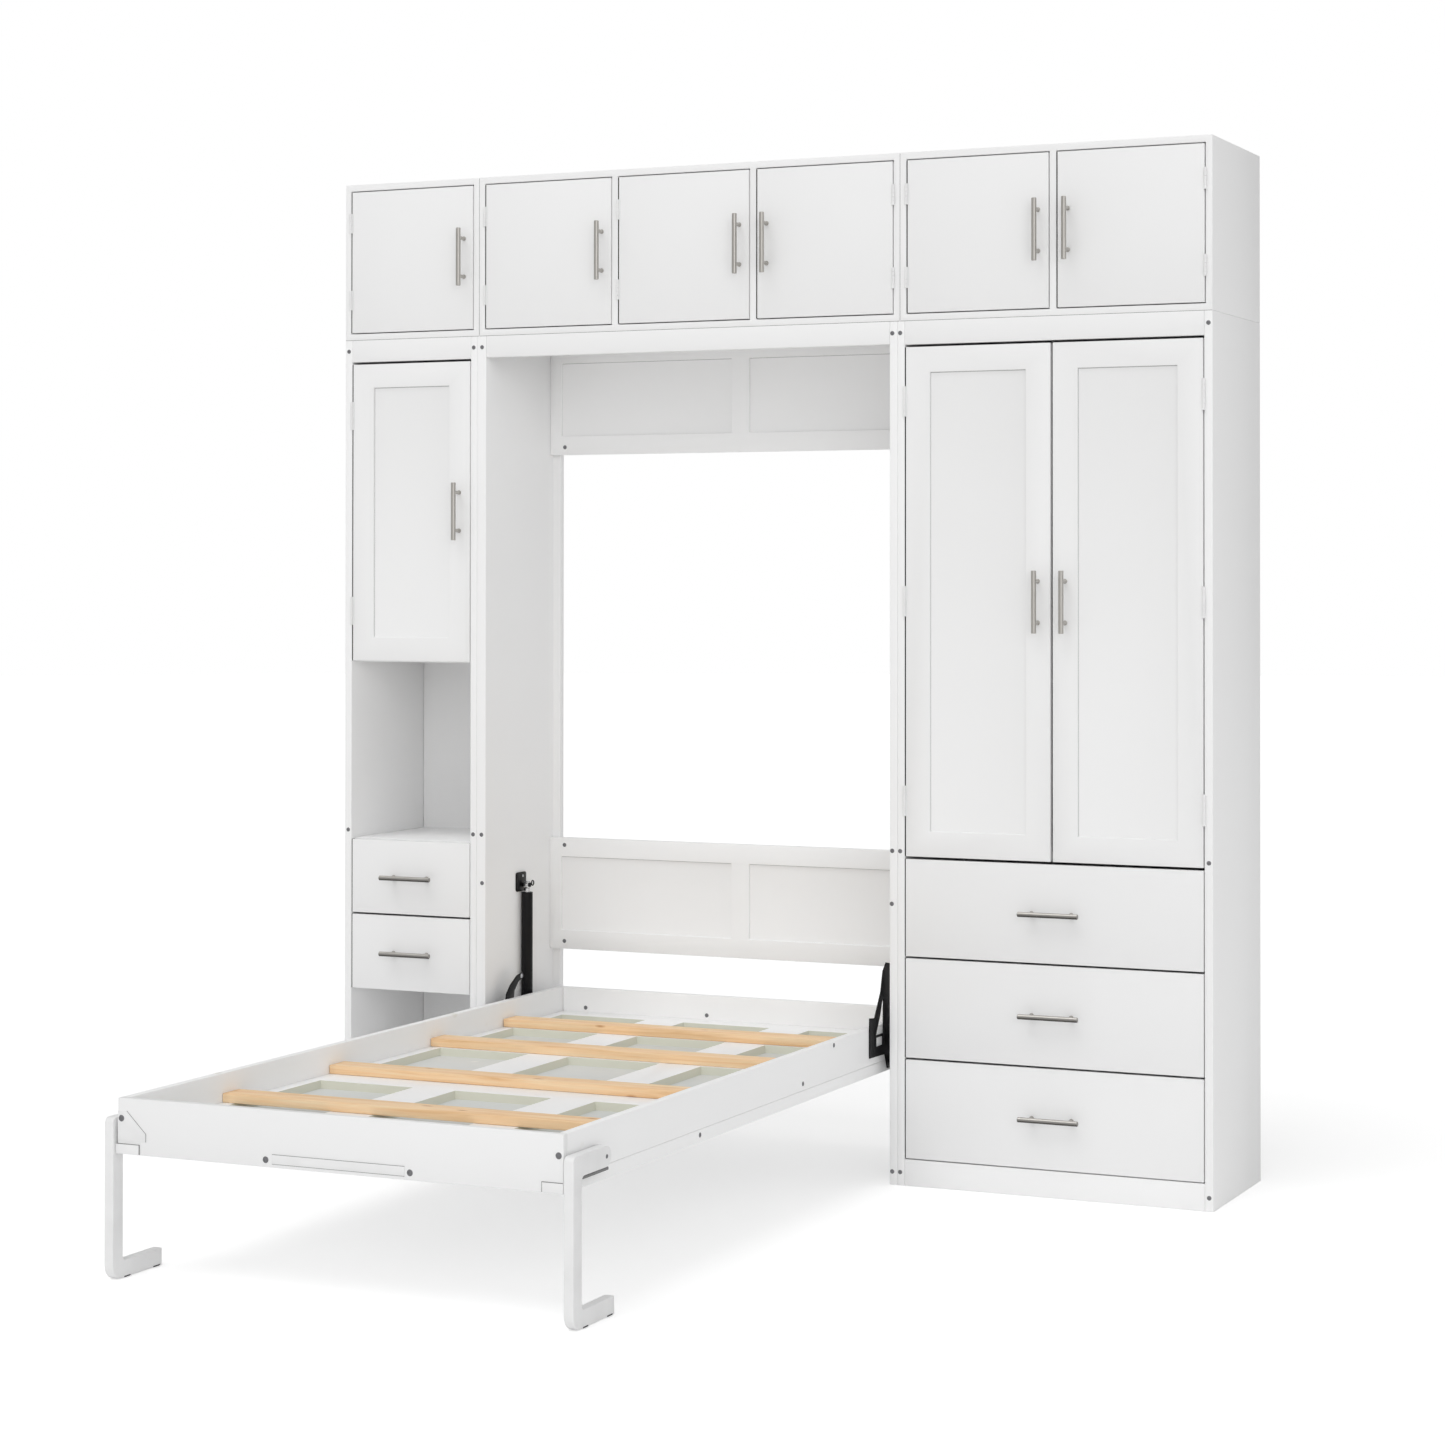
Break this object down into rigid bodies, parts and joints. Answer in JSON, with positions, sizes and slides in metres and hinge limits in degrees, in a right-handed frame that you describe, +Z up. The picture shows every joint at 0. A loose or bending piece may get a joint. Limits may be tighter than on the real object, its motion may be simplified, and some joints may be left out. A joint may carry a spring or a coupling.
{
  "type": "murphy wall bed",
  "caption": "Fold-down twin wall bed on folding legs, in the middle bay of a white cabinet wall with a shelf tower, a wardrobe over drawers, and overhead cupboards.",
  "frame": {"origin": "on the floor, in the middle of the footprint that runs from the backs of the cabinets to the front of the bed's legs with the bed down", "axes": "+X to the right seen from the room, +Y towards the wall, +Z up"},
  "size_m": [2.2798, 2.027, 2.434],
  "materials": {
    "white_paint": "satin white lacquer on wood board",
    "white_steel": "satin white powder coat",
    "pine": "bare sanded pine",
    "nickel": "brushed nickel",
    "bright_steel": "ground bright rod",
    "black_steel": "semi-gloss black"
  },
  "bodies": {
    "cabinet": {"overhead_case_left": "white_paint", "overhead_case_centre": "white_paint", "overhead_case_right": "white_paint", "tower_side_left": "white_paint", "tower_side_right": "white_paint", "tower_core": "white_paint", "wardrobe_side_left": "white_paint", "wardrobe_side_right": "white_paint", "wardrobe_core": "white_paint", "hanging_rail": "nickel", "bay_side_left": "white_paint", "bay_side_right": "white_paint", "bay_front_rail": "white_paint", "upper_back_panel": "white_paint", "mid_back_panel": "white_paint"},
    "bed": {"bed_rail_left": "white_paint", "bed_rail_right": "white_paint", "head_board": "white_paint", "foot_board": "white_paint", "deck_panel": "white_paint", "slat_1": "pine", "slat_2": "pine", "slat_3": "pine", "slat_4": "pine", "hinge_arm_left": "black_steel", "hinge_arm_right": "black_steel"},
    "leg_left": {"leg_left": "white_steel"},
    "leg_right": {"leg_right": "white_steel"},
    "strut_rod_left": {"strut_rod_left": "bright_steel"},
    "strut_rod_right": {"strut_rod_right": "bright_steel"},
    "strut_cylinder_left": {"strut_cylinder_left": "black_steel"},
    "strut_cylinder_right": {"strut_cylinder_right": "black_steel"},
    "overhead_door_1": {"overhead_door_1": "white_paint", "overhead_door_1_handle": "nickel"},
    "overhead_door_2": {"overhead_door_2": "white_paint", "overhead_door_2_handle": "nickel"},
    "overhead_door_3": {"overhead_door_3": "white_paint", "overhead_door_3_handle": "nickel"},
    "overhead_door_4": {"overhead_door_4": "white_paint", "overhead_door_4_handle": "nickel"},
    "overhead_door_5": {"overhead_door_5": "white_paint", "overhead_door_5_handle": "nickel"},
    "overhead_door_6": {"overhead_door_6": "white_paint", "overhead_door_6_handle": "nickel"},
    "tower_door": {"tower_door": "white_paint", "tower_door_handle": "nickel"},
    "wardrobe_door_left": {"wardrobe_door_left": "white_paint", "wardrobe_door_left_handle": "nickel"},
    "wardrobe_door_right": {"wardrobe_door_right": "white_paint", "wardrobe_door_right_handle": "nickel"},
    "tower_drawer_upper": {"tower_drawer_upper": "white_paint", "tower_drawer_upper_handle": "nickel"},
    "tower_drawer_lower": {"tower_drawer_lower": "white_paint", "tower_drawer_lower_handle": "nickel"},
    "wardrobe_drawer_top": {"wardrobe_drawer_top": "white_paint", "wardrobe_drawer_top_handle": "nickel"},
    "wardrobe_drawer_middle": {"wardrobe_drawer_middle": "white_paint", "wardrobe_drawer_middle_handle": "nickel"},
    "wardrobe_drawer_bottom": {"wardrobe_drawer_bottom": "white_paint", "wardrobe_drawer_bottom_handle": "nickel"}
  },
  "joints": [
    {"name": "bed_fold", "type": "hinge", "parent": "cabinet", "child": "bed", "pos_m": [-0.184, 0.6735, 0.282], "axis": [-1, 0, 0], "range_deg": [0, 90]},
    {"name": "leg_fold_left", "type": "hinge", "parent": "bed", "child": "leg_left", "pos_m": [-0.703, -0.8735, 0.311], "axis": [1, 0, 0], "range_deg": [0, 90]},
    {"name": "leg_fold_right", "type": "hinge", "parent": "bed", "child": "leg_right", "pos_m": [0.335, -0.8735, 0.311], "axis": [1, 0, 0], "range_deg": [0, 90]},
    {"name": "strut_swing_left", "type": "hinge", "parent": "cabinet", "child": "strut_rod_left", "pos_m": [-0.7137, 0.7935, 0.645], "axis": [-1, 0, 0], "range_deg": [0, 12]},
    {"name": "strut_slide_left", "type": "slide", "parent": "strut_rod_left", "child": "strut_cylinder_left", "axis": [0, 0, -1], "range_m": [0, 0.15]},
    {"name": "strut_swing_right", "type": "hinge", "parent": "cabinet", "child": "strut_rod_right", "pos_m": [0.3426, 0.7935, 0.645], "axis": [-1, 0, 0], "range_deg": [0, 12]},
    {"name": "strut_slide_right", "type": "slide", "parent": "strut_rod_right", "child": "strut_cylinder_right", "axis": [0, 0, -1], "range_m": [0, 0.15]},
    {"name": "overhead_door_1_hinge", "type": "hinge", "parent": "cabinet", "child": "overhead_door_1", "pos_m": [-1.124, 0.6005, 2.235], "axis": [0, 0, -1], "range_deg": [0, 110]},
    {"name": "overhead_door_2_hinge", "type": "hinge", "parent": "cabinet", "child": "overhead_door_2", "pos_m": [-0.734, 0.6005, 2.235], "axis": [0, 0, -1], "range_deg": [0, 110]},
    {"name": "overhead_door_3_hinge", "type": "hinge", "parent": "cabinet", "child": "overhead_door_3", "pos_m": [-0.362, 0.6005, 2.235], "axis": [0, 0, -1], "range_deg": [0, 110]},
    {"name": "overhead_door_4_hinge", "type": "hinge", "parent": "cabinet", "child": "overhead_door_4", "pos_m": [0.366, 0.6005, 2.235], "axis": [0, 0, 1], "range_deg": [0, 85]},
    {"name": "overhead_door_5_hinge", "type": "hinge", "parent": "cabinet", "child": "overhead_door_5", "pos_m": [0.398, 0.6005, 2.235], "axis": [0, 0, -1], "range_deg": [0, 85]},
    {"name": "overhead_door_6_hinge", "type": "hinge", "parent": "cabinet", "child": "overhead_door_6", "pos_m": [1.124, 0.6005, 2.235], "axis": [0, 0, 1], "range_deg": [0, 110]},
    {"name": "tower_door_hinge", "type": "hinge", "parent": "cabinet", "child": "tower_door", "pos_m": [-1.12, 0.6005, 1.596], "axis": [0, 0, -1], "range_deg": [0, 110]},
    {"name": "wardrobe_door_left_hinge", "type": "hinge", "parent": "cabinet", "child": "wardrobe_door_left", "pos_m": [0.394, 0.6005, 1.37425], "axis": [0, 0, -1], "range_deg": [0, 110]},
    {"name": "wardrobe_door_right_hinge", "type": "hinge", "parent": "cabinet", "child": "wardrobe_door_right", "pos_m": [1.12, 0.6005, 1.37425], "axis": [0, 0, 1], "range_deg": [0, 110]},
    {"name": "tower_drawer_upper_slide", "type": "slide", "parent": "cabinet", "child": "tower_drawer_upper", "axis": [0, -1, 0], "range_m": [0, 0.25]},
    {"name": "tower_drawer_lower_slide", "type": "slide", "parent": "cabinet", "child": "tower_drawer_lower", "axis": [0, -1, 0], "range_m": [0, 0.25]},
    {"name": "wardrobe_drawer_top_slide", "type": "slide", "parent": "cabinet", "child": "wardrobe_drawer_top", "axis": [0, -1, 0], "range_m": [0, 0.28]},
    {"name": "wardrobe_drawer_middle_slide", "type": "slide", "parent": "cabinet", "child": "wardrobe_drawer_middle", "axis": [0, -1, 0], "range_m": [0, 0.28]},
    {"name": "wardrobe_drawer_bottom_slide", "type": "slide", "parent": "cabinet", "child": "wardrobe_drawer_bottom", "axis": [0, -1, 0], "range_m": [0, 0.28]}
  ],
  "couplings": [
    {"joint": "strut_swing_left", "follows": "bed_fold", "ratio": 0.13249},
    {"joint": "strut_slide_left", "follows": "bed_fold", "m_per_rad": 0.09464},
    {"joint": "strut_swing_right", "follows": "bed_fold", "ratio": 0.13249},
    {"joint": "strut_slide_right", "follows": "bed_fold", "m_per_rad": 0.09464}
  ]
}
